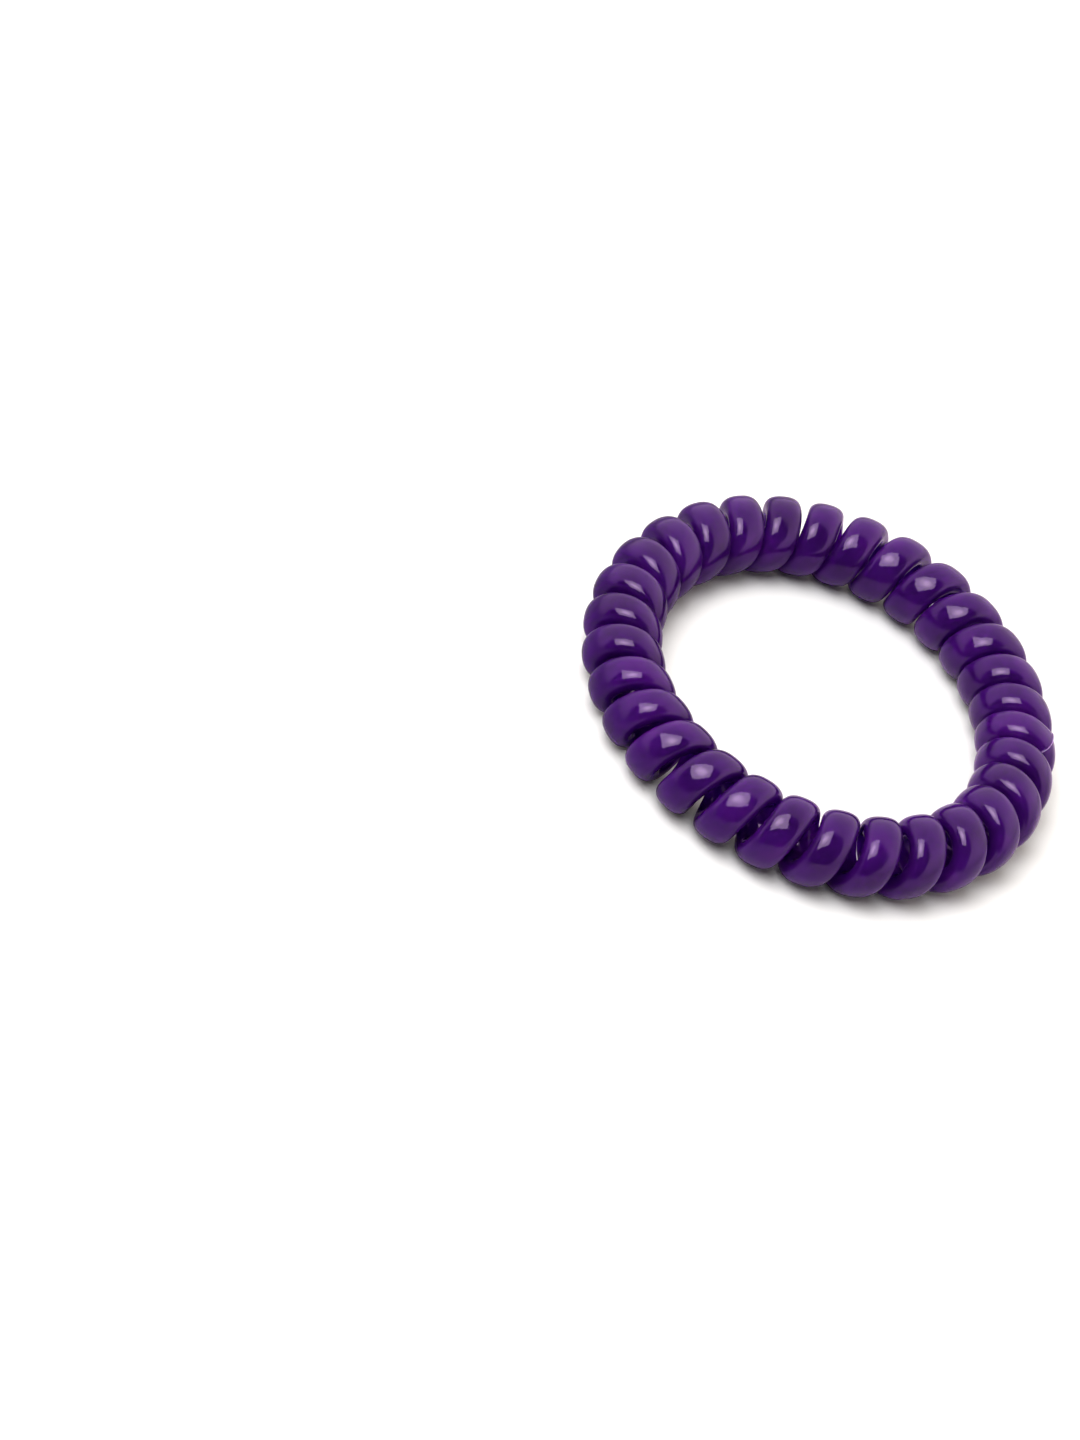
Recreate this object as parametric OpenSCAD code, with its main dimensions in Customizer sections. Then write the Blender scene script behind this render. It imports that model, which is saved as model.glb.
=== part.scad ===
// Spiral hair tie: one cord of soft glossy plastic wound into a coil, bent round
// into a ring and welded end to end, so the whole tie is a single piece.
// Millimetres, +Z up. The ring lies flat, with the middle of its box over the origin.

/* [Ring] */
// Turns of cord in the whole ring
turns = 30; // [16:2:40]
// Clear gap between neighbouring turns where they sit tightest, on the inner side
turn_gap = 0.05; // [0.05:0.05:1.5]
// How much the ring's longest half-axis exceeds its mean radius
oval = 0.75; // [0:0.05:2]
// Direction of the ring's long way, seen from above
oval_angle = 113; // [0:1:180]

/* [Coil] */
// Outer diameter of the coil, across one turn
coil_d = 8.6; // [7.5:0.1:12]
// Way the cord climbs round the coil
winding = "left"; // [left, right]

/* [Cord] */
// Width of the cord, along the ring
cord_w = 4.0; // [2:0.05:5]
// Thickness of the cord, between its inner and outer faces
cord_t = 2.65; // [1.5:0.05:3.2]
// Power of the cord's section: 2 is an ellipse, 4 is nearly a rounded box
section_power = 2.4; // [2:0.1:4]
// Share of its width that the cord loses on the ring's inner side, where its turns sit tightest
squeeze_ratio = 0.085; // [0:0.005:0.2]

/* [Weld] */
// Direction in which the weld lies, seen from above
weld_angle = 8.5; // [0:0.1:360]
// How far up the turn's outer side the weld lies: 0 is its widest place, 90 its top
weld_up_angle = 46; // [-30:1:110]
// Height of the weld's flash above the cord's face
flash_h = 0.25; // [0.05:0.05:0.5]
// Length of cord that is swollen next to the weld
swell_l = 1.0; // [0.5:0.1:2]

/* [Hidden] */

// Rings of points along the whole cord, and points round its section
cord_steps = 480;
section_sides = 12;

// Spacing of the turns wanders slowly round the ring, and is closest near the weld.
// Columns: waves round the ring, shift as a share of one turn, direction of its peak
wave_index = 0;
share_index = 1;
peak_index = 2;
drifts = [
    [1, 0.024, 43],
    [2, 0.053, 99],
    [3, 0.039, 22],
    [4, 0.047, 38]
];

// The ring's outline also leans a little from an oval, as a share of the oval
lobe_count = 3;
lobe_ratio = 0.28;
lobe_angle = 84;

// Section of the cord beside the weld.
// Columns: place as a share of the swollen length, height as a share of the flash
place_index = 0;
height_index = 1;
weld_profile = [
    [-0.18, 0],
    [-0.04, 0.9],
    [0.04, 1],
    [0.2, 0.7],
    [0.6, 0.55],
    [1, 0]
];

// Radius from the coil's middle to the cord's middle, and length of cord in one turn
cord_r = (coil_d - cord_t) / 2;
turn_l = 2 * PI * cord_r;

// Room that one turn takes along the ring, where the turns sit tightest.
// The cord runs aslant, so it takes more than its width and gap.
tight_w = cord_w * (1 - squeeze_ratio) + turn_gap;
turn_room = tight_w / sqrt(1 - pow(tight_w / turn_l, 2));

wind = winding == "left" ? 1 : -1;

// Departure of the ring's centreline from its mean radius, at angle a
function bulge(a) =
    oval * (cos(2 * (a - oval_angle)) + lobe_ratio * cos(lobe_count * (a - lobe_angle)));
function bulge_slope(a) =
    -oval * (2 * sin(2 * (a - oval_angle))
             + lobe_count * lobe_ratio * sin(lobe_count * (a - lobe_angle)));
function bulge_bend(a) =
    -oval * (4 * cos(2 * (a - oval_angle))
             + lobe_count * lobe_count * lobe_ratio * cos(lobe_count * (a - lobe_angle)));

// Sum of a list
function total(v) = v * [for (x = v) 1];

// Degrees by which the turns run ahead of even spacing, and turns wound per degree
function wave_angle(d, a) = d[wave_index] * (a - d[peak_index]);
function drift(a) = total([for (d = drifts) 360 * d[share_index] * cos(wave_angle(d, a))]);
function pace(a) = turns / 360
    - total([for (d = drifts) PI / 180 * d[share_index] * d[wave_index] * sin(wave_angle(d, a))]);

// The ring closes as far as its tightest turns let it
ring_r = cord_r + max([for (a = [0 : 3 : 357]) turn_room * pace(a) * 180 / PI - bulge(a)]);

// Angle round the coil that the cord has reached at angle a: 0 is outwards, 90 is up
function coil_angle(a) =
    weld_up_angle + turns * (a - weld_angle) + drift(a) - drift(weld_angle);

// Unit vector that points out of the ring in its plane, square to its centreline
function ring_out(a) =
    let (r = ring_r + bulge(a), s = bulge_slope(a),
         v = [r * cos(a) + s * sin(a), r * sin(a) - s * cos(a), 0])
    v / norm(v);

// Middle of the cord, and its outward direction from the middle of the coil
function spoke(a) = let (c = coil_angle(a)) cos(c) * ring_out(a) + [0, 0, wind * sin(c)];
function cord_point(a) = (ring_r + bulge(a)) * [cos(a), sin(a), 0] + cord_r * spoke(a);

// Direction of the cord, from two of its points close together
run_angle_step = 0.02;
function cord_run(a) =
    let (v = cord_point(a + run_angle_step) - cord_point(a - run_angle_step)) v / norm(v);

// Width of the cord where it faces the ring's middle: it is soft and fills the room there.
// The room is less where the ring bends more.
function inner_w(a) =
    let (r = ring_r + bulge(a), bent = cord_r * (1 - bulge_bend(a) / r),
         room = (r - bent) * PI / 180 / pace(a))
    room / sqrt(1 + pow(room / turn_l, 2)) - turn_gap;

// Half-width of the cord, which changes evenly between the ring's outer and inner sides
function half_w(a) =
    (cord_w + (inner_w(a) - cord_w) * (1 - cos(coil_angle(a))) / 2) / 2;

// Power that keeps the sign, for the rounded-box section
function signed_pow(v, e) = sign(v) * pow(abs(v), e);

// One ring of points round the cord at angle a, standing proud by extra
function cord_section(a, extra) =
    let (run = cord_run(a), lean = spoke(a) - (spoke(a) * run) * run, out = lean / norm(lean),
         side = cross(run, out), e = 2 / section_power)
    [for (k = [0 : section_sides - 1])
        let (s = 360 * k / section_sides)
        cord_point(a) + (cord_t / 2 + extra) * signed_pow(cos(s), e) * out
                      + (half_w(a) + extra) * signed_pow(sin(s), e) * side];

// Stations along the cord: angle round the ring and height of the weld there.
// The first are the weld's own. The rest are even and start clear of it.
deg_per_mm = 360 / (turns * turn_l);
step_deg = 360 / cord_steps;
weld_stations = [for (w = weld_profile)
    [weld_angle + w[place_index] * swell_l * deg_per_mm, w[height_index] * flash_h]];
weld_room = 0.3;
even_stations = [for (k = [1 : cord_steps - 1])
    let (a = k * step_deg, mm = min(a, 360 - a) / deg_per_mm)
    if (mm > (a < 180 ? swell_l : 0) + weld_room) [weld_angle + a, 0]];
stations = concat(weld_stations, even_stations);

cord_points = [for (s = stations) each cord_section(s[0], s[1])];

// The ring lies on the floor with the middle of its box over the origin
low = [for (i = [0 : 2]) min([for (p = cord_points) p[i]])];
high = [for (i = [0 : 2]) max([for (p = cord_points) p[i]])];
seat = [(low[0] + high[0]) / 2, (low[1] + high[1]) / 2, low[2]];

// Two triangles for each patch between neighbouring stations, the last joined to the first
function patch_faces(n, m) = [for (i = [0 : n - 1], k = [0 : m - 1])
    let (a = i * m + k, b = i * m + (k + 1) % m,
         c = ((i + 1) % n) * m + (k + 1) % m, d = ((i + 1) % n) * m + k)
    each [[a, c, b], [a, d, c]]];

module coil() {
    color("#4b2380")
        polyhedron(points = [for (p = cord_points) p - seat],
                   faces = patch_faces(len(stations), section_sides), convexity = 10);
}

coil();
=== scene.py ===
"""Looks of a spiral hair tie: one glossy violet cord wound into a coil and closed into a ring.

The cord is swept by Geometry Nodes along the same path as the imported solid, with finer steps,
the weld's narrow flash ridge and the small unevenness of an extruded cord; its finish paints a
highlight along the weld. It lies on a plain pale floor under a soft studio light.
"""

import logging
import math
from collections.abc import Iterable
from dataclasses import dataclass, field
from enum import Enum

import bpy
import numpy as np
from mathutils import Matrix, Vector


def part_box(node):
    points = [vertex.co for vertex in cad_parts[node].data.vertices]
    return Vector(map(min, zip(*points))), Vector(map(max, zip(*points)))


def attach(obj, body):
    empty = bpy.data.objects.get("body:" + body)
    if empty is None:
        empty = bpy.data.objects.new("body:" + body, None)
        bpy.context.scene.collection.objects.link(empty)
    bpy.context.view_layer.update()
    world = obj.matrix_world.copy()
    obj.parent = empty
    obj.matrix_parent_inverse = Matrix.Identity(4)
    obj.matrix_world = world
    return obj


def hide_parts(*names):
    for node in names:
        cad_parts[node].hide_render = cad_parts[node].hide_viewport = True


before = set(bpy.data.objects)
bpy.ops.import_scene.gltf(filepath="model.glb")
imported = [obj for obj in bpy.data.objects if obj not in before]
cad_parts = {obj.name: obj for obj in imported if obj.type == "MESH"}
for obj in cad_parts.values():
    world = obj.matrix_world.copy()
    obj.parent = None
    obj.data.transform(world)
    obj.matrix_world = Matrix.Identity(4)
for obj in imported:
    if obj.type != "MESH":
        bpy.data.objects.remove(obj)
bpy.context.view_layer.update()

Tree = bpy.types.NodeTree
Socket = bpy.types.NodeSocket
Sockets = bpy.types.bpy_prop_collection

LOG = logging.getLogger("spiral_hair_tie")
MM = 0.001

# What the cord's path needs besides the angle round the ring
PATH_INPUTS = ("Turns", "Phase", "Ring Radius", "Coil Radius", "Oval", "Climb")

# Places of a Mix node's sockets for colours
MIX_SHARE, MIX_FIRST, MIX_SECOND, MIX_RESULT = 0, 6, 7, 2


def linear(hex_colour: str) -> tuple[float, float, float, float]:
    """Turns an sRGB hex colour into a linear one, by sRGB's own curve.

    Args:
        hex_colour: Six hex digits, with or without a leading hash.

    Returns:
        Red, green, blue and alpha, linear, from 0 to 1.
    """
    digits = hex_colour.lstrip("#")
    parts = [int(digits[i:i + 2], 16) / 255 for i in (0, 2, 4)]
    flat = [p / 12.92 if p <= 0.04045 else ((p + 0.055) / 1.055) ** 2.4 for p in parts]
    return (*flat, 1.0)


def add(
    tree: Tree,
    kind: str,
    feeds: list | dict | None = None,
    out: int | str = 0,
    **settings: object,
) -> Socket | None:
    """Adds a node to a tree, with its settings, values and links.

    Args:
        tree: The node tree.
        kind: The node's type name.
        feeds: What its inputs take, in order or by name: a value, an output socket, or None
            for an input that is left as it is.
        out: The output to return.
        **settings: The node's own properties.

    Returns:
        The chosen output socket, or None on a node without outputs.
    """
    node = tree.nodes.new(kind)
    for name, value in settings.items():
        setattr(node, name, value)
    pairs = feeds.items() if isinstance(feeds, dict) else enumerate(feeds or [])
    for key, feed in pairs:
        if isinstance(feed, Socket):
            tree.links.new(feed, node.inputs[key])
        elif feed is not None:
            node.inputs[key].default_value = feed
    return node.outputs[out] if len(node.outputs) else None


def box_of(mesh: bpy.types.Mesh) -> tuple[Vector, Vector]:
    """Gives the box round a mesh.

    Args:
        mesh: The mesh, in its own coordinates.

    Returns:
        The box's lowest and highest corners.
    """
    flat = np.empty(len(mesh.vertices) * 3, np.float32)
    mesh.vertices.foreach_get("co", flat)
    points = flat.reshape(-1, 3)
    return Vector(points.min(0).tolist()), Vector(points.max(0).tolist())


class Winding(Enum):
    """Way in which the cord climbs round the coil."""

    LEFT = 1
    RIGHT = -1


@dataclass(frozen=True)
class Wave:
    """One slow wave round the ring.

    Attributes:
        count: Waves in one round of the ring.
        share: Height as a share of what it is a wave of.
        peak_deg: Direction in which it peaks.
    """

    count: int
    share: float
    peak_deg: float

    def height(self, angle_deg: float) -> float:
        """Gives the wave's height in the direction angle_deg, as a share."""
        return self.share * math.cos(math.radians(self.count * (angle_deg - self.peak_deg)))

    def slope(self, angle_deg: float) -> float:
        """Gives the wave's rise for each radian in the direction angle_deg."""
        turned = math.radians(self.count * (angle_deg - self.peak_deg))
        return -self.share * self.count * math.sin(turned)


@dataclass(frozen=True)
class SoftGlossyCord:
    """Thermoplastic polyurethane, extruded and heat-set: opaque violet with a wet-looking skin.

    The skin is smooth but not optical: the die leaves faint lines along the cord, and the setting
    of the hot coil leaves a shallow orange peel, so a window of light keeps its shape with ragged
    edges. The colour is even, with slight clouds where the dye is a little denser. At the weld a
    pale line is painted round the cord: a painted highlight, for the light that the flash
    catches.

    Attributes:
        name: The material's name.
        violet: Colour of most of the cord.
        deep_violet: Colour where the dye is denser.
        warm_violet: Colour where the dye is thinner.
        weld_highlight_violet: Colour of the painted highlight, a pale line round the weld.
        skin_tint: Tint of what the skin mirrors.
        skin_level: How strongly the skin mirrors.
        roughness: Roughness of the skin.
        roughness_swing: How far the roughness goes up and down with the clouds.
        thin_roughness: Roughness of the flash, where the highlight is painted.
        ior: Index of refraction of the plastic.
        cloud_mm: Size of one cloud.
        cloud_stops: Cloud values at which the deep, the usual and the warm violet are full.
        haze_span: Cloud values at which the roughness is lowest and highest.
        peel_mm: Size of one dimple of the orange peel.
        peel_depth_mm: Depth of the orange peel.
        peel_strength: Share of that depth that shows.
        die_line_mm: Spacing of the die's lines.
        die_run_mm: Length over which one such line changes.
        die_depth_mm: Depth of the die's lines.
        die_strength: Share of that depth that shows.
        weld_line_mm: Width of the painted highlight, the pale line at the weld.
        weld_line_edges: Shares of that width, from the line's middle, between which it fades.
        glow_mm: How far red, green and blue light spread inside the plastic.
    """

    name: str = "soft_glossy_violet_cord"
    violet: str = "#2e0851"
    deep_violet: str = "#250544"
    warm_violet: str = "#390b5b"
    weld_highlight_violet: str = "#9c7cbb"
    skin_tint: str = "#f7d2ff"
    skin_level: float = 0.44
    roughness: float = 0.045
    roughness_swing: float = 0.015
    thin_roughness: float = 0.3
    ior: float = 1.5
    cloud_mm: float = 6.0
    cloud_stops: tuple[float, float, float] = (0.35, 0.52, 0.68)
    haze_span: tuple[float, float] = (0.3, 0.7)
    peel_mm: float = 1.6
    peel_depth_mm: float = 0.04
    peel_strength: float = 0.5
    die_line_mm: float = 0.35
    die_run_mm: float = 20.0
    die_depth_mm: float = 0.02
    die_strength: float = 0.6
    weld_line_mm: float = 0.11
    weld_line_edges: tuple[float, float] = (0.3, 0.7)
    glow_mm: tuple[float, float, float] = (7.0, 1.5, 9.0)

    def make(self) -> bpy.types.Material:
        """Builds the material.

        Returns:
            The material, which reads Object coordinates and the cord's own UV map in millimetres.
        """
        material = bpy.data.materials.new(self.name)
        material.use_nodes = True
        tree = material.node_tree
        tree.nodes.clear()
        place = add(tree, "ShaderNodeTexCoord", out="Object")
        per_metre = 1 / MM

        clouds = add(tree, "ShaderNodeTexNoise",
                     {"Vector": place, "Scale": per_metre / self.cloud_mm, "Detail": 3.0})
        dye = add(tree, "ShaderNodeValToRGB", {"Fac": clouds}, out="Color")
        stops = dye.node.color_ramp.elements
        deep_at, usual_at, warm_at = self.cloud_stops
        stops[0].position, stops[0].color = deep_at, linear(self.deep_violet)
        stops[1].position, stops[1].color = warm_at, linear(self.warm_violet)
        stops.new(usual_at).color = linear(self.violet)

        # Faint lines that run along the cord, from the die
        along = add(tree, "ShaderNodeUVMap", uv_map="UVMap")
        stretched = add(tree, "ShaderNodeMapping", {
            "Vector": along, "Scale": (1 / self.die_run_mm, 1 / self.die_line_mm, 1.0),
        })
        lines = add(tree, "ShaderNodeTexNoise",
                    {"Vector": stretched, "Scale": 1.0, "Detail": 2.0, "Roughness": 0.6})
        peel = add(tree, "ShaderNodeTexNoise",
                   {"Vector": place, "Scale": per_metre / self.peel_mm, "Detail": 1.5})
        line_bump = add(tree, "ShaderNodeBump", {
            "Strength": self.die_strength, "Distance": self.die_depth_mm * MM,
            "Height": lines,
        }, out="Normal")
        skin = add(tree, "ShaderNodeBump", {
            "Strength": self.peel_strength, "Distance": self.peel_depth_mm * MM,
            "Height": peel, "Normal": line_bump,
        }, out="Normal")

        # The weld lies where the cord's length starts
        length = add(tree, "ShaderNodeSeparateXYZ", [along], out="X")
        apart = add(tree, "ShaderNodeMath", [length], operation="ABSOLUTE")
        full_to, gone_at = [edge * self.weld_line_mm for edge in self.weld_line_edges]
        # Painted highlight: a pale line round the cord at the weld, where the flash catches the
        # light
        weld_highlight = add(tree, "ShaderNodeMapRange", [apart, full_to, gone_at, 1.0, 0.0])
        colour = add(tree, "ShaderNodeMix", {
            MIX_SHARE: weld_highlight, MIX_FIRST: dye, MIX_SECOND: linear(self.weld_highlight_violet),
        }, out=MIX_RESULT, data_type="RGBA")

        haze = add(tree, "ShaderNodeMapRange", [
            clouds, *self.haze_span,
            self.roughness - self.roughness_swing, self.roughness + self.roughness_swing,
        ])
        haze = add(tree, "ShaderNodeMapRange", [weld_highlight, 0.0, 1.0, haze, self.thin_roughness])
        shader = add(tree, "ShaderNodeBsdfPrincipled", {
            "Base Color": colour, "Roughness": haze, "IOR": self.ior, "Normal": skin,
            "Specular IOR Level": self.skin_level, "Specular Tint": linear(self.skin_tint),
            "Subsurface Weight": 1.0, "Subsurface Radius": self.glow_mm,
            "Subsurface Scale": MM,
        })
        add(tree, "ShaderNodeOutputMaterial", {"Surface": shader})
        return material


@dataclass(frozen=True)
class MattPaper:
    """Matt white paper, rolled out as the studio's floor.

    The photo's levels are stretched until the paper is pure white, while gloss shows it grey,
    and darker towards the left. So the paper is white to look at and for light to fall on, and
    gloss mirrors a painted reflection of it, from dark grey at the left to pale grey at the
    right.

    Attributes:
        name: The material's name.
        white: Colour of the paper to look at.
        mirrored_left: Colour of the painted reflection at the left, in gloss.
        mirrored_right: Colour of the painted reflection at the right, in gloss.
        mirrored_span_mm: Places from left to right between which the one becomes the other.
        roughness: Roughness of the paper.
        skin_level: How strongly the paper mirrors.
        fibre_mm: Size of one tuft of fibres.
        fibre_depth_mm: Depth of the fibres.
        fibre_strength: Share of that depth that shows.
    """

    name: str = "matt_white_paper"
    white: str = "#f1f0ef"
    mirrored_left: str = "#675e6b"
    mirrored_right: str = "#c4aecb"
    mirrored_span_mm: tuple[float, float] = (-50.0, 25.0)
    roughness: float = 0.9
    skin_level: float = 0.2
    fibre_mm: float = 0.8
    fibre_depth_mm: float = 0.02
    fibre_strength: float = 0.05

    def make(self) -> bpy.types.Material:
        """Builds the material.

        Returns:
            The material, which reads Object coordinates.
        """
        material = bpy.data.materials.new(self.name)
        material.use_nodes = True
        tree = material.node_tree
        tree.nodes.clear()
        place = add(tree, "ShaderNodeTexCoord", out="Object")
        fibres = add(tree, "ShaderNodeTexNoise",
                     {"Vector": place, "Scale": 1 / (self.fibre_mm * MM), "Detail": 2.0})
        bump = add(tree, "ShaderNodeBump", {
            "Strength": self.fibre_strength, "Distance": self.fibre_depth_mm * MM,
            "Height": fibres,
        }, out="Normal")
        # Painted reflection: what gloss sees of the paper, darker towards the left
        sideways = add(tree, "ShaderNodeSeparateXYZ", [place], out="X")
        left, right = self.mirrored_span_mm
        sideways = add(tree, "ShaderNodeMapRange", [sideways, left * MM, right * MM, 0.0, 1.0],
                       interpolation_type="SMOOTHSTEP")
        grey = add(tree, "ShaderNodeMix", {
            MIX_SHARE: sideways, MIX_FIRST: linear(self.mirrored_left),
            MIX_SECOND: linear(self.mirrored_right),
        }, out=MIX_RESULT, data_type="RGBA")
        mirrored = add(tree, "ShaderNodeLightPath", out="Is Glossy Ray")
        colour = add(tree, "ShaderNodeMix", {
            MIX_SHARE: mirrored, MIX_FIRST: linear(self.white), MIX_SECOND: grey,
        }, out=MIX_RESULT, data_type="RGBA")
        shader = add(tree, "ShaderNodeBsdfPrincipled", {
            "Base Color": colour, "Roughness": self.roughness, "Normal": bump,
            "Specular IOR Level": self.skin_level,
        })
        add(tree, "ShaderNodeOutputMaterial", {"Surface": shader})
        return material


@dataclass
class CoiledRing:
    """The whole tie: one cord wound into a coil, closed into a ring and welded.

    Sizes are in millimetres and angles in degrees, but for run_step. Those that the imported
    solid also has are the solid's own, but for the weld's heights, which are finer here.

    Attributes:
        turns: Turns of cord in the ring.
        turn_gap: Clear gap between neighbouring turns where they sit tightest.
        oval: How much the ring's longest half-axis exceeds its mean radius.
        lobes: Waves of the ring's outline, as shares of the oval.
        drifts: Waves by which the turns run ahead of even spacing, as shares of one turn.
        coil_d: Outer diameter of the coil, across one turn.
        winding: Way in which the cord climbs round the coil.
        cord_w: Width of the cord, along the ring.
        cord_t: Thickness of the cord, between its inner and outer faces.
        section_power: Power of the section: 2 is an ellipse, 4 is nearly a rounded box.
        squeeze_ratio: Share of its width that the cord loses where its turns sit tightest.
        weld_angle: Direction in which the weld lies, seen from above.
        weld_up_angle: How far up the turn's outer side the weld lies.
        flash_h: Height of the weld's flash above the cord's face.
        flash_w: Distance from its middle at which the flash has fallen to about a third.
        swell_h: Height of the swelling beside the weld.
        swell_l: Length of the swelling.
        wobble_h: Height of the slight unevenness of an extruded cord.
        wobble_l: Length of one uneven place.
        wobble_span: Noise values that give the lowest and the highest place.
        ring_step: Whole degrees between the places where the ring's tightness is looked at.
        stations: Steps along the cord.
        sides: Steps round the cord.
        weld_crowding: Share by which the steps along the cord shorten at the weld.
        weld_reach: Share of the cord's length over which they shorten.
        run_step: Radians between a place and those that give the cord's direction there.
        round_share: Way round the section as a share of the way round its box.
        merge_gap: Distance below which points of the closed cord become one.
        finish: The cord's finish.
    """

    turns: int = 30
    turn_gap: float = 0.05
    oval: float = 0.75
    lobes: tuple[Wave, ...] = (Wave(2, 1.0, 113), Wave(3, 0.28, 84))
    drifts: tuple[Wave, ...] = (
        Wave(1, 0.024, 43), Wave(2, 0.053, 99), Wave(3, 0.039, 22), Wave(4, 0.047, 38),
    )
    coil_d: float = 8.6
    winding: Winding = Winding.LEFT
    cord_w: float = 4.0
    cord_t: float = 2.65
    section_power: float = 2.4
    squeeze_ratio: float = 0.085
    weld_angle: float = 8.5
    weld_up_angle: float = 46.0
    flash_h: float = 0.22
    flash_w: float = 0.055
    swell_h: float = 0.12
    swell_l: float = 1.0
    wobble_h: float = 0.03
    wobble_l: float = 5.0
    wobble_span: tuple[float, float] = (0.25, 0.75)
    ring_step: int = 3
    stations: int = 2880
    sides: int = 32
    weld_crowding: float = 0.85
    weld_reach: float = 0.0012
    run_step: float = 0.0003
    round_share: float = 0.85
    merge_gap: float = 0.001
    finish: SoftGlossyCord = field(default_factory=SoftGlossyCord)

    @property
    def cord_r(self) -> float:
        """Radius from the coil's middle to the cord's middle."""
        return (self.coil_d - self.cord_t) / 2

    @property
    def turn_l(self) -> float:
        """Length of cord round one turn, without its pitch."""
        return 2 * math.pi * self.cord_r

    @property
    def ring_r(self) -> float:
        """Mean radius to which the ring closes, held open by its tightest turns.

        Returns:
            The radius, in millimetres.
        """
        width = self.cord_w * (1 - self.squeeze_ratio) + self.turn_gap
        room = width / math.sqrt(1 - (width / self.turn_l) ** 2)
        needed = []
        for angle in range(0, 360, self.ring_step):
            wound = self.turns + 2 * math.pi * sum(d.slope(angle) for d in self.drifts)
            bulge = self.oval * sum(w.height(angle) for w in self.lobes)
            needed.append(room * wound / (2 * math.pi) - bulge)
        return self.cord_r + max(needed)

    @property
    def phase(self) -> float:
        """Angle round the coil, in radians, that the even winding has at angle zero."""
        lag = 2 * math.pi * sum(d.height(self.weld_angle) for d in self.drifts)
        return math.radians(self.weld_up_angle - self.turns * self.weld_angle) - lag

    def path_tree(self) -> Tree:
        """Builds the node group that gives the cord's middle line.

        Returns:
            A group that turns an angle round the ring into a point of the cord's middle line,
            the direction from the coil's middle to it, how far that faces out of the ring, and
            the room that one turn has along the ring's inner side.
        """
        tree = bpy.data.node_groups.new("cord_path", "GeometryNodeTree")
        for name in ("Angle", *PATH_INPUTS):
            tree.interface.new_socket(name, in_out="INPUT", socket_type="NodeSocketFloat")
        for name in ("Point", "Spoke"):
            tree.interface.new_socket(name, in_out="OUTPUT", socket_type="NodeSocketVector")
        for name in ("Outwards", "Room"):
            tree.interface.new_socket(name, in_out="OUTPUT", socket_type="NodeSocketFloat")
        angle = add(tree, "NodeGroupInput", out="Angle")
        given = angle.node.outputs

        # Turns wound so far and their pace: even winding, and slow waves that crowd the turns
        wound = add(tree, "ShaderNodeMath", [angle, given["Turns"], given["Phase"]],
                    operation="MULTIPLY_ADD")
        pace = given["Turns"]
        for wave in self.drifts:
            peak = math.radians(wave.count * wave.peak_deg)
            turned = add(tree, "ShaderNodeMath", [angle, wave.count, -peak],
                         operation="MULTIPLY_ADD")
            swing = add(tree, "ShaderNodeMath", [turned], operation="COSINE")
            wound = add(tree, "ShaderNodeMath", [swing, 2 * math.pi * wave.share, wound],
                        operation="MULTIPLY_ADD")
            steep = add(tree, "ShaderNodeMath", [turned], operation="SINE")
            pace = add(tree, "ShaderNodeMath",
                       [steep, -2 * math.pi * wave.share * wave.count, pace],
                       operation="MULTIPLY_ADD")

        # Radius of the ring's middle line, how fast it falls and bends, for oval and lobes
        radius, fall, bend = given["Ring Radius"], 0.0, 0.0
        for wave in self.lobes:
            peak = math.radians(wave.count * wave.peak_deg)
            turned = add(tree, "ShaderNodeMath", [angle, wave.count, -peak],
                         operation="MULTIPLY_ADD")
            height = add(tree, "ShaderNodeMath", [given["Oval"], wave.share],
                         operation="MULTIPLY")
            swing = add(tree, "ShaderNodeMath", [turned], operation="COSINE")
            radius = add(tree, "ShaderNodeMath", [swing, height, radius],
                         operation="MULTIPLY_ADD")
            steep = add(tree, "ShaderNodeMath", [turned], operation="SINE")
            steep = add(tree, "ShaderNodeMath", [steep, wave.count], operation="MULTIPLY")
            fall = add(tree, "ShaderNodeMath", [steep, height, fall], operation="MULTIPLY_ADD")
            round_in = add(tree, "ShaderNodeMath", [swing, wave.count ** 2],
                           operation="MULTIPLY")
            bend = add(tree, "ShaderNodeMath", [round_in, height, bend],
                       operation="MULTIPLY_ADD")

        # Length of the ring's inner side that one turn has: less where the ring bends more
        bend = add(tree, "ShaderNodeMath", [bend, radius], operation="DIVIDE")
        bend = add(tree, "ShaderNodeMath", [bend, 1.0], operation="ADD")
        bend = add(tree, "ShaderNodeMath", [bend, given["Coil Radius"]], operation="MULTIPLY")
        room = add(tree, "ShaderNodeMath", [radius, bend], operation="SUBTRACT")
        room = add(tree, "ShaderNodeMath", [room, 2 * math.pi], operation="MULTIPLY")
        room = add(tree, "ShaderNodeMath", [room, pace], operation="DIVIDE")

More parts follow.
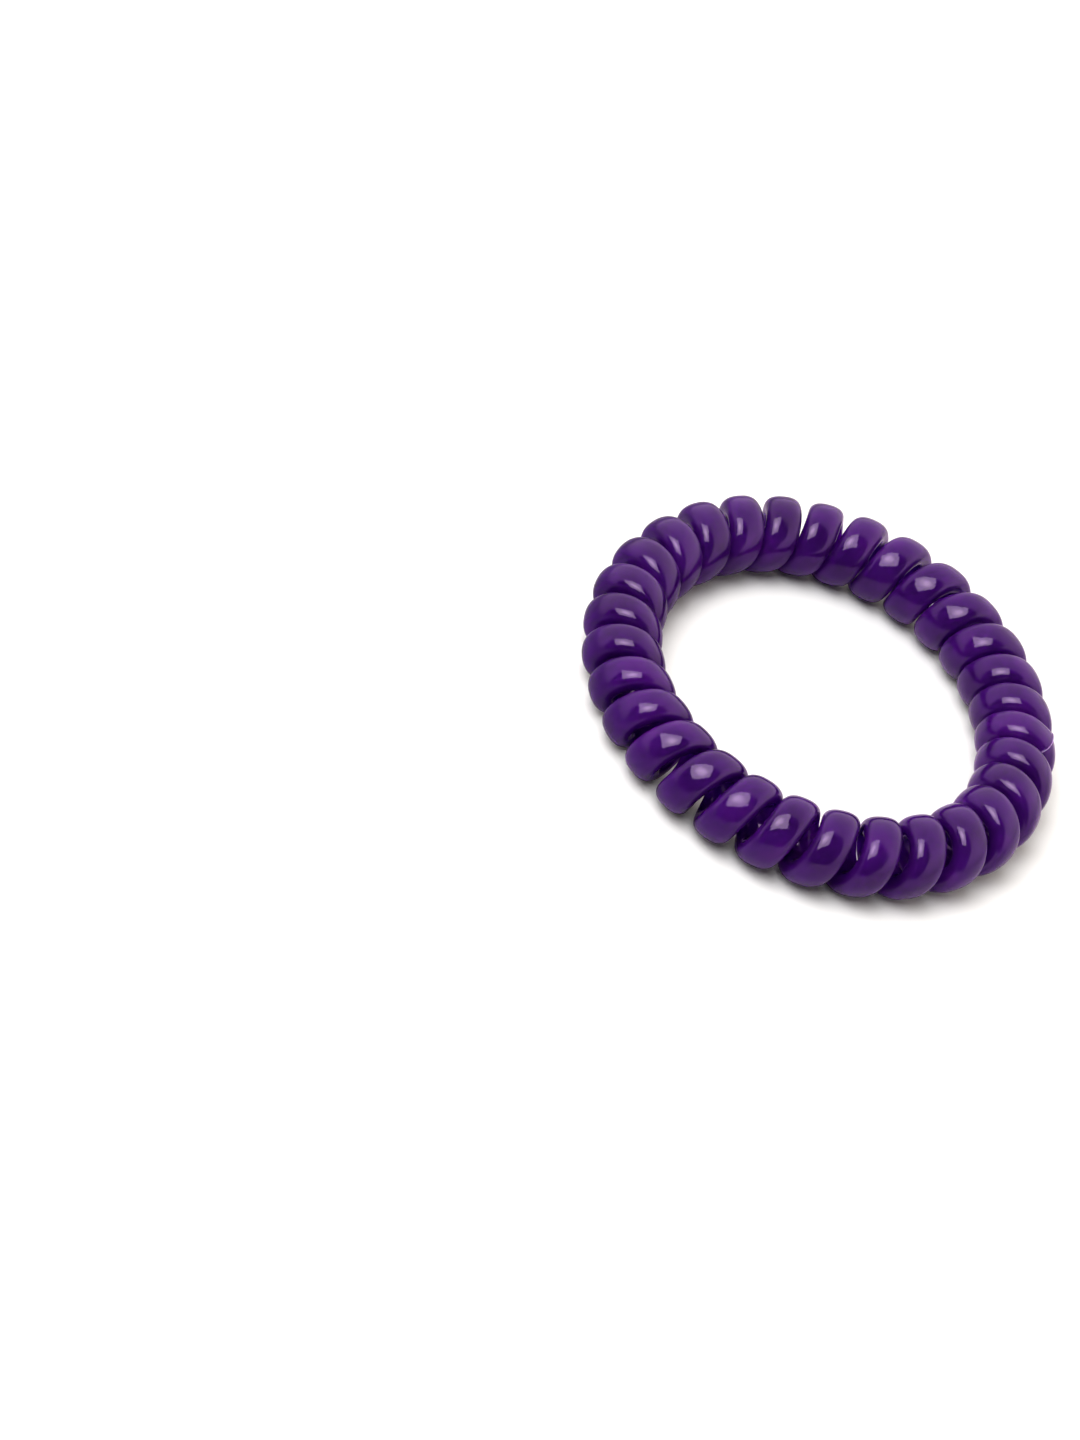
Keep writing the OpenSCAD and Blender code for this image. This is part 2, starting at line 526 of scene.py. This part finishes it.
        # Worked out as if at angle zero, then turned about the ring's axis
        outwards = add(tree, "ShaderNodeCombineXYZ", [radius, fall, 0.0])
        outwards = add(tree, "ShaderNodeVectorMath", [outwards], operation="NORMALIZE")
        across = add(tree, "ShaderNodeMath", [wound], operation="COSINE")
        up = add(tree, "ShaderNodeMath", [wound], operation="SINE")
        up = add(tree, "ShaderNodeMath", [up, given["Climb"]], operation="MULTIPLY")
        level = add(tree, "ShaderNodeVectorMath", {"Vector": outwards, "Scale": across},
                    operation="SCALE")
        rise = add(tree, "ShaderNodeCombineXYZ", [0.0, 0.0, up])
        spoke = add(tree, "ShaderNodeVectorMath", [level, rise], operation="ADD")
        reach = add(tree, "ShaderNodeVectorMath",
                    {"Vector": spoke, "Scale": given["Coil Radius"]}, operation="SCALE")
        middle = add(tree, "ShaderNodeCombineXYZ", [radius, 0.0, 0.0])
        point = add(tree, "ShaderNodeVectorMath", [middle, reach], operation="ADD")
        ends = [
            add(tree, "ShaderNodeVectorRotate", {"Vector": flat, "Angle": angle},
                rotation_type="Z_AXIS")
            for flat in (point, spoke)
        ]
        add(tree, "NodeGroupOutput", [*ends, across, room])
        return tree

    def sweep_tree(
        self, path: Tree, material: bpy.types.Material
    ) -> tuple[Tree, dict[str, float | int]]:
        """Builds the tree that sweeps the cord's section along its path.

        Args:
            path: The group that gives the cord's middle line.
            material: The cord's finish.

        Returns:
            The tree, and its inputs' values by socket identifier.
        """
        tree = bpy.data.node_groups.new("coiled_cord", "GeometryNodeTree")
        tree.interface.new_socket("Geometry", in_out="INPUT", socket_type="NodeSocketGeometry")
        tree.interface.new_socket("Geometry", in_out="OUTPUT", socket_type="NodeSocketGeometry")
        values = {}
        sizes = {
            "Turns": self.turns, "Phase": self.phase, "Ring Radius": self.ring_r * MM,
            "Coil Radius": self.cord_r * MM, "Oval": self.oval * MM,
            "Climb": self.winding.value, "Half Thickness": self.cord_t / 2 * MM,
            "Width": self.cord_w * MM, "Turn Gap": self.turn_gap * MM,
            "Weld Angle": math.radians(self.weld_angle),
            "Flash Height": self.flash_h * MM, "Flash Width": self.flash_w * MM,
            "Swell Height": self.swell_h * MM, "Swell Length": self.swell_l * MM,
            "Wobble Height": self.wobble_h * MM, "Wobble Length": self.wobble_l * MM,
        }
        for name, size in sizes.items():
            socket = tree.interface.new_socket(name, in_out="INPUT",
                                               socket_type="NodeSocketFloat")
            values[socket.identifier] = float(size)
        for name, count in {"Stations": self.stations, "Sides": self.sides}.items():
            socket = tree.interface.new_socket(name, in_out="INPUT", socket_type="NodeSocketInt")
            values[socket.identifier] = count
        given = add(tree, "NodeGroupInput").node.outputs

        # A flat grid: its long way becomes the cord's length, its short way goes round the cord
        columns = add(tree, "ShaderNodeMath", [given["Stations"], 1.0], operation="ADD")
        rows = add(tree, "ShaderNodeMath", [given["Sides"], 1.0], operation="ADD")
        grid = add(tree, "GeometryNodeMeshGrid", [1.0, 1.0, columns, rows])
        x = add(tree, "ShaderNodeSeparateXYZ", [add(tree, "GeometryNodeInputPosition")],
                out="X")
        y = x.node.outputs["Y"]

        # Angle from the weld, with the stations drawn together near it
        close = add(tree, "ShaderNodeMath", [x, self.weld_reach], operation="DIVIDE")
        close = add(tree, "ShaderNodeMath", [close], operation="TANH")
        spread = 2 * math.pi / (1 - 2 * self.weld_crowding * self.weld_reach)
        pull = add(tree, "ShaderNodeMath",
                   [close, -spread * self.weld_crowding * self.weld_reach, 0.0],
                   operation="MULTIPLY_ADD")
        past_weld = add(tree, "ShaderNodeMath", [x, spread, pull], operation="MULTIPLY_ADD")
        angle = add(tree, "ShaderNodeMath", [past_weld, given["Weld Angle"]], operation="ADD")
        round_cord = add(tree, "ShaderNodeMath", [y, -2 * math.pi], operation="MULTIPLY")

        # The cord's own frame: along its run, outwards from the coil, and sideways
        before, here, after = [
            add(tree, "GeometryNodeGroup", {
                "Angle": add(tree, "ShaderNodeMath", [angle, shift], operation="ADD"),
                **{name: given[name] for name in PATH_INPUTS},
            }, node_tree=path)
            for shift in (-self.run_step, 0.0, self.run_step)
        ]
        middle = here.node.outputs
        run = add(tree, "ShaderNodeVectorMath", [after, before], operation="SUBTRACT")
        run = add(tree, "ShaderNodeVectorMath", [run], operation="NORMALIZE")
        side = add(tree, "ShaderNodeVectorMath", [run, middle["Spoke"]],
                   operation="CROSS_PRODUCT")
        side = add(tree, "ShaderNodeVectorMath", [side], operation="NORMALIZE")
        out = add(tree, "ShaderNodeVectorMath", [side, run], operation="CROSS_PRODUCT")

        # Towards the ring's middle the soft cord fills the room between its neighbours
        slant = add(tree, "ShaderNodeMath", [middle["Room"], self.turn_l * MM],
                    operation="DIVIDE")
        slant = add(tree, "ShaderNodeMath", [slant], operation="ARCTANGENT")
        slant = add(tree, "ShaderNodeMath", [slant], operation="COSINE")
        inner = add(tree, "ShaderNodeMath", [middle["Room"], slant], operation="MULTIPLY")
        inner = add(tree, "ShaderNodeMath", [inner, given["Turn Gap"]], operation="SUBTRACT")
        width = add(tree, "ShaderNodeMapRange",
                    [middle["Outwards"], 1.0, -1.0, given["Width"], inner])
        half_width = add(tree, "ShaderNodeMath", [width, 0.5], operation="MULTIPLY")

        # Section of the cord: a rounded box, by powers that keep the sign
        body, rays = here, []
        for turn, half, along in (
            ("COSINE", given["Half Thickness"], out), ("SINE", half_width, side),
        ):
            swing = add(tree, "ShaderNodeMath", [round_cord], operation=turn)
            size = add(tree, "ShaderNodeMath", [swing], operation="ABSOLUTE")
            size = add(tree, "ShaderNodeMath", [size, 2 / self.section_power],
                       operation="POWER")
            sign = add(tree, "ShaderNodeMath", [swing], operation="SIGN")
            size = add(tree, "ShaderNodeMath", [size, sign], operation="MULTIPLY")
            rays.append(add(tree, "ShaderNodeVectorMath", {"Vector": along, "Scale": size},
                            operation="SCALE"))
            part = add(tree, "ShaderNodeVectorMath", {"Vector": rays[-1], "Scale": half},
                       operation="SCALE")
            body = add(tree, "ShaderNodeVectorMath", [body, part], operation="ADD")

        proud = self.weld_nodes(tree, past_weld, given)
        proud = self.wobble_nodes(tree, body, proud, given)
        ray = add(tree, "ShaderNodeVectorMath", rays, operation="ADD")
        lift = add(tree, "ShaderNodeVectorMath", {"Vector": ray, "Scale": proud},
                   operation="SCALE")
        place = add(tree, "ShaderNodeVectorMath", [body, lift], operation="ADD")

        # The grid's own corners become a UV map in millimetres of cord
        length = self.turns * self.turn_l / (2 * math.pi)
        u = add(tree, "ShaderNodeMath", [past_weld, length], operation="MULTIPLY")
        v = add(tree, "ShaderNodeMath",
                [y, 2 * (self.cord_w + self.cord_t) * self.round_share], operation="MULTIPLY")
        flat_place = add(tree, "ShaderNodeCombineXYZ", [u, v, 0.0])
        mapped = add(tree, "GeometryNodeStoreNamedAttribute",
                     {"Geometry": grid, "Name": "UVMap", "Value": flat_place},
                     data_type="FLOAT2", domain="CORNER")
        swept = add(tree, "GeometryNodeSetPosition", {"Geometry": mapped, "Position": place})
        closed = add(tree, "GeometryNodeMergeByDistance",
                     {"Geometry": swept, "Distance": self.merge_gap * MM})
        smooth = add(tree, "GeometryNodeSetShadeSmooth", {"Geometry": closed})
        real = add(tree, "GeometryNodeRealizeInstances", {"Geometry": smooth})
        dressed = add(tree, "GeometryNodeSetMaterial", {"Geometry": real, "Material": material})
        add(tree, "NodeGroupOutput", [dressed])
        return tree, values

    def weld_nodes(self, tree: Tree, past_weld: Socket, given: Sockets) -> Socket:
        """Adds the height of the weld above the cord's face.

        Args:
            tree: The tree to add to.
            past_weld: Angle from the weld.
            given: The tree's inputs.

        Returns:
            The height, in metres: a thin flash line, and a short swelling past it.
        """
        length = self.turns * self.turn_l * MM / (2 * math.pi)
        away = add(tree, "ShaderNodeMath", [past_weld, length], operation="MULTIPLY")
        share = add(tree, "ShaderNodeMath", [away, given["Flash Width"]], operation="DIVIDE")
        square = add(tree, "ShaderNodeMath", [share, share], operation="MULTIPLY")
        square = add(tree, "ShaderNodeMath", [square, -1.0], operation="MULTIPLY")
        ridge = add(tree, "ShaderNodeMath", [square], operation="EXPONENT")
        ridge = add(tree, "ShaderNodeMath", [ridge, given["Flash Height"]],
                    operation="MULTIPLY")
        fade = add(tree, "ShaderNodeMapRange", [away, 0.0, given["Swell Length"], 1.0, 0.0],
                   interpolation_type="SMOOTHSTEP")
        start = add(tree, "ShaderNodeMapRange", [away, 0.0, given["Flash Width"], 0.0, 1.0],
                    interpolation_type="SMOOTHSTEP")
        swell = add(tree, "ShaderNodeMath", [fade, start], operation="MULTIPLY")
        return add(tree, "ShaderNodeMath", [swell, given["Swell Height"], ridge],
                   operation="MULTIPLY_ADD")

    def wobble_nodes(self, tree: Tree, body: Socket, proud: Socket, given: Sockets) -> Socket:
        """Adds the slight unevenness of an extruded cord.

        Args:
            tree: The tree to add to.
            body: Point of the even surface.
            proud: Height of the weld there.
            given: The tree's inputs.

        Returns:
            The height of weld and unevenness together.
        """
        scale = add(tree, "ShaderNodeMath", [1.0, given["Wobble Length"]], operation="DIVIDE")
        noise = add(tree, "ShaderNodeTexNoise",
                    {"Vector": body, "Scale": scale, "Detail": 1.0})
        swing = add(tree, "ShaderNodeMapRange", [noise, *self.wobble_span, -1.0, 1.0])
        return add(tree, "ShaderNodeMath", [swing, given["Wobble Height"], proud],
                   operation="MULTIPLY_ADD")

    def build(self) -> bpy.types.Object:
        """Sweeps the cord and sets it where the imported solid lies.

        Returns:
            The ring, a plain mesh at the origin.
        """
        material = self.finish.make()
        tree, values = self.sweep_tree(self.path_tree(), material)
        seed = bpy.data.objects.new("coil_seed", bpy.data.meshes.new("coil_seed"))
        bpy.context.scene.collection.objects.link(seed)
        modifier = seed.modifiers.new("coiled_cord", "NODES")
        modifier.node_group = tree
        for identifier, value in values.items():
            modifier[identifier] = value
        bpy.context.view_layer.update()
        evaluated = seed.evaluated_get(bpy.context.evaluated_depsgraph_get())
        mesh = bpy.data.meshes.new_from_object(evaluated)
        mesh.name = "coiled_ring"
        bpy.data.objects.remove(seed)

        low, high = box_of(mesh)
        cad_low, cad_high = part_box("coil")
        seat = (cad_low + cad_high) / 2 - (low + high) / 2
        seat.z = cad_low.z - low.z
        mesh.transform(Matrix.Translation(seat))
        ring = bpy.data.objects.new("coiled_ring", mesh)
        bpy.context.scene.collection.objects.link(ring)
        return ring

    def dress(self, ring: bpy.types.Object) -> None:
        """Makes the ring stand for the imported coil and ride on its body.

        Args:
            ring: The built ring.
        """
        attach(ring, "root")
        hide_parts("coil")


@dataclass
class PaperFloor:
    """A wide sheet of paper under the ring.

    Attributes:
        half_size: Half the sheet's width, in millimetres.
        finish: The paper's finish.
    """

    half_size: float = 3000.0
    finish: MattPaper = field(default_factory=MattPaper)

    def build(self) -> bpy.types.Object:
        """Lays the paper at the height of the ring's lowest point.

        Returns:
            The floor.
        """
        h, z = self.half_size * MM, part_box("coil")[0].z
        mesh = bpy.data.meshes.new("paper_floor")
        mesh.from_pydata([(-h, -h, z), (h, -h, z), (h, h, z), (-h, h, z)], [], [(0, 1, 2, 3)])
        mesh.materials.append(self.finish.make())
        floor = bpy.data.objects.new("paper_floor", mesh)
        bpy.context.scene.collection.objects.link(floor)
        return floor


def direction_to(azimuth: float, elevation: float) -> Vector:
    """Gives a direction from the ring, in the world.

    Args:
        azimuth: Degrees from the camera's side, anticlockwise seen from above.
        elevation: Degrees above the floor.

    Returns:
        The direction, one unit long.
    """
    turned, raised = math.radians(azimuth), math.radians(elevation)
    return Vector((math.sin(turned) * math.cos(raised), -math.cos(turned) * math.cos(raised),
                   math.sin(raised)))


@dataclass(frozen=True)
class Walls:
    """The room's pale walls, with a dark shade towards the camera.

    Attributes:
        wall: The walls' colour.
        shade: Colour of the dark shade.
        strength: Brightness of the walls.
        ceiling_share: Brightness overhead, as a share of the walls'.
        ceiling_heights: Sine of the elevation at which the ceiling starts, and is full.
        dim_share: Brightness away from the lit side, as a share of the lit side's.
        lit_azimuth: Azimuth of the brightest side.
        lit_cosines: Cosine of the angle at which that side starts, and is full.
        low_share: Brightness at the floor's level, but for the back, as a share of the rest.
        low_heights: Sine of the elevation at which that is full, and ends.
        back_azimuth: Azimuth of the back.
        back_cosines: Cosine of the angle at which the back starts, and is full.
        shade_azimuth: Azimuth of the shade's middle.
        shade_elevation: Elevation of the shade's middle.
        shade_cosines: Cosine of the angle at which the shade starts, and is full.
    """

    wall: str = "#fff6ea"
    shade: str = "#3a3a3c"
    strength: float = 1.46
    ceiling_share: float = 0.7
    ceiling_heights: tuple[float, float] = (0.7, 0.93)
    dim_share: float = 0.6
    lit_azimuth: float = -150.0
    lit_cosines: tuple[float, float] = (-0.5, 0.8)
    low_share: float = 1.0
    low_heights: tuple[float, float] = (0.0, 0.4)
    back_azimuth: float = 180.0
    back_cosines: tuple[float, float] = (0.6, 0.98)
    shade_azimuth: float = 0.0
    shade_elevation: float = 42.6
    shade_cosines: tuple[float, float] = (0.53, 0.63)

    def glow(self, tree: Tree, direction: Socket) -> Socket:
        """Adds the walls to the world's tree.

        Args:
            tree: The world's node tree.
            direction: The direction looked in.

        Returns:
            The background shader's output.
        """
        lit, behind, near = [
            add(tree, "ShaderNodeVectorMath", [direction, direction_to(azimuth, elevation)],
                out="Value", operation="DOT_PRODUCT")
            for azimuth, elevation in (
                (self.lit_azimuth, 0.0), (self.back_azimuth, 0.0),
                (self.shade_azimuth, self.shade_elevation),
            )
        ]
        height = add(tree, "ShaderNodeSeparateXYZ", [direction], out="Z")
        share = add(tree, "ShaderNodeMapRange",
                    [height, *self.ceiling_heights, 1.0, self.ceiling_share],
                    interpolation_type="SMOOTHSTEP")
        side = add(tree, "ShaderNodeMapRange", [lit, *self.lit_cosines, self.dim_share, 1.0])
        share = add(tree, "ShaderNodeMath", [share, side], operation="MULTIPLY")
        back = add(tree, "ShaderNodeMapRange",
                   [behind, *self.back_cosines, self.low_share, 1.0])
        low = add(tree, "ShaderNodeMapRange", [height, *self.low_heights, back, 1.0])
        share = add(tree, "ShaderNodeMath", [share, low], operation="MULTIPLY")
        share = add(tree, "ShaderNodeMath", [share, self.strength], operation="MULTIPLY")
        shaded = add(tree, "ShaderNodeMapRange", [near, *self.shade_cosines, 0.0, 1.0],
                     interpolation_type="SMOOTHSTEP")
        colour = add(tree, "ShaderNodeMix", {
            MIX_SHARE: shaded, MIX_FIRST: linear(self.wall), MIX_SECOND: linear(self.shade),
        }, out=MIX_RESULT, data_type="RGBA")
        return add(tree, "ShaderNodeBackground", [colour, share])


@dataclass
class Studio:
    """Soft light: one square softbox above and to the left, and pale walls round the ring.

    Sizes are in millimetres, and brightnesses go by the lit floor, whose own is about one. As
    with the paper, gloss shows the walls otherwise than they light matt things, so the walls
    are given twice.

    Attributes:
        azimuth: Azimuth of the softbox.
        elevation: Elevation of the softbox.
        roll: Degrees by which the softbox is turned about its own axis.
        distance: Distance from the ring to the softbox.
        softbox_size: Side of its square cloth.
        cloth_glow: Brightness of the cloth.
        lamp_glow: Brightness of the cloth's middle, where the lamp is.
        lamp_span: Distances from the middle between which the one becomes the other.
        lighting: The walls as they light things.
        mirrored: The walls as gloss mirrors them.
    """

    azimuth: float = -46.5
    elevation: float = 64.6
    roll: float = -28.0
    distance: float = 700.0
    softbox_size: float = 600.0
    cloth_glow: float = 5.3
    lamp_glow: float = 12.0
    lamp_span: tuple[float, float] = (20.0, 240.0)
    lighting: Walls = Walls()
    mirrored: Walls = Walls(
        wall="#fadcff", strength=1.68, ceiling_share=0.88, dim_share=0.76, low_share=0.6,
        lit_azimuth=100.0, lit_cosines=(0.3, 0.8), shade_azimuth=-10.0,
    )

    def softbox(self, aim: Vector) -> None:
        """Hangs the softbox: a wide square cloth, brighter in its middle where the lamp is.

        Args:
            aim: Point that it faces.
        """
        data = bpy.data.lights.new("softbox", "AREA")
        data.shape, data.size = "SQUARE", self.softbox_size * MM
        # The power goes with the cloth's area, so that its glow is the same at any size
        data.energy = math.pi * data.size ** 2
        data.use_nodes = True
        tree = data.node_tree
        tree.nodes.clear()
        middle = (0.5, 0.5, 0.0)
        place = add(tree, "ShaderNodeNewGeometry", out="Parametric")
        place = add(tree, "ShaderNodeVectorMath", [place, middle], operation="SUBTRACT")
        size = (self.softbox_size, self.softbox_size, 0.0)
        place = add(tree, "ShaderNodeVectorMath", [place, size], operation="MULTIPLY")
        off = add(tree, "ShaderNodeVectorMath", [place], out="Value", operation="LENGTH")
        glow = add(tree, "ShaderNodeMapRange",
                   [off, *self.lamp_span, self.lamp_glow, self.cloth_glow],
                   interpolation_type="SMOOTHSTEP")
        shader = add(tree, "ShaderNodeEmission", {"Strength": glow})
        add(tree, "ShaderNodeOutputLight", {"Surface": shader})

        towards = direction_to(self.azimuth, self.elevation)
        turned = (Matrix.Rotation(math.radians(self.roll), 3, towards)
                  @ towards.to_track_quat("Z", "Y").to_matrix())
        light = bpy.data.objects.new("softbox", data)
        hung = aim + towards * self.distance * MM
        light.matrix_world = Matrix.Translation(hung) @ turned.to_4x4()
        bpy.context.scene.collection.objects.link(light)

    def surroundings(self) -> None:
        """Makes the room that the ring stands in."""
        world = bpy.data.worlds.new("studio")
        world.use_nodes = True
        bpy.context.scene.world = world
        tree = world.node_tree
        tree.nodes.clear()
        direction = add(tree, "ShaderNodeTexCoord", out="Generated")
        in_gloss = add(tree, "ShaderNodeLightPath", out="Is Glossy Ray")
        glow = add(tree, "ShaderNodeMixShader", [
            in_gloss, self.lighting.glow(tree, direction), self.mirrored.glow(tree, direction),
        ])
        add(tree, "ShaderNodeOutputWorld", {"Surface": glow})


@dataclass
class PhotoCamera:
    """The photo's view of the ring.

    Attributes:
        elevation: Degrees above the floor.
        roll: Degrees by which the camera is turned about the way it looks.
        distance: Distance from the middle of the ring's circle, in millimetres.
        px_per_mm: Size of a millimetre in the frame, at that middle.
        ring_px: Where that middle is seen in the frame.
        ring_offset: How far it lies from the middle of the ring's box, in millimetres, because
            the ring is uneven.
        frame_px: Width and height of the frame.
        sensor_mm: Height of the sensor.
        clip_m: Nearest and furthest distance that the camera sees, in metres.
    """

    elevation: float = 42.6
    roll: float = 23.4
    distance: float = 408.7
    px_per_mm: float = 9.351
    ring_px: tuple[float, float] = (821.5, 689.6)
    ring_offset: tuple[float, float] = (0.017, -0.192)
    frame_px: tuple[int, int] = (1080, 1440)
    sensor_mm: float = 24.0
    clip_m: tuple[float, float] = (0.01, 100.0)

    def axes(self) -> tuple[Vector, Vector, Vector]:
        """Gives the camera's own directions.

        Returns:
            Its right, up and backward directions, in the world.
        """
        elevation, roll = math.radians(self.elevation), math.radians(self.roll)
        back = Vector((0.0, -math.cos(elevation), math.sin(elevation)))
        level = Vector((1.0, 0.0, 0.0))
        up = back.cross(level)
        right = math.cos(roll) * level + math.sin(roll) * up
        return right, -math.sin(roll) * level + math.cos(roll) * up, back

    def build(self, box_middle: Vector) -> bpy.types.Object:
        """Places the camera.

        Args:
            box_middle: Middle of the ring's box.

        Returns:
            The camera, which is also set as the scene's.
        """
        ring_middle = box_middle + Vector((*self.ring_offset, 0.0)) * MM
        right, up, back = self.axes()
        off_x = (self.ring_px[0] - self.frame_px[0] / 2) / self.px_per_mm
        off_y = (self.frame_px[1] / 2 - self.ring_px[1]) / self.px_per_mm
        eye = ring_middle + (back * self.distance - right * off_x - up * off_y) * MM
        data = bpy.data.cameras.new("photo_camera")
        data.sensor_fit = "VERTICAL"
        data.sensor_height = self.sensor_mm
        data.lens = self.px_per_mm * self.distance / self.frame_px[1] * self.sensor_mm
        data.clip_start, data.clip_end = self.clip_m
        camera = bpy.data.objects.new("photo_camera", data)
        turned = Matrix((right, up, back)).transposed().to_4x4()
        camera.matrix_world = Matrix.Translation(eye) @ turned
        bpy.context.scene.collection.objects.link(camera)
        bpy.context.scene.camera = camera
        return camera


def main() -> None:
    """Builds the camera and stage, then the ring."""
    logging.basicConfig(level=logging.INFO, format="%(message)s")
    bpy.context.scene.view_settings.view_transform = "Standard"

    low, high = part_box("coil")
    middle = (low + high) / 2
    camera = PhotoCamera().build(middle)
    LOG.info("%s placed", camera.name)
    floor = PaperFloor().build()
    LOG.info("%s laid", floor.name)
    studio = Studio()
    studio.softbox(middle)
    studio.surroundings()
    LOG.info("stage lit")

    coil = CoiledRing()
    ring = coil.build()
    coil.dress(ring)
    LOG.info("%s: %d faces, ring radius %.2f mm",
             ring.name, len(ring.data.polygons), coil.ring_r)


if __name__ == "__main__":
    main()
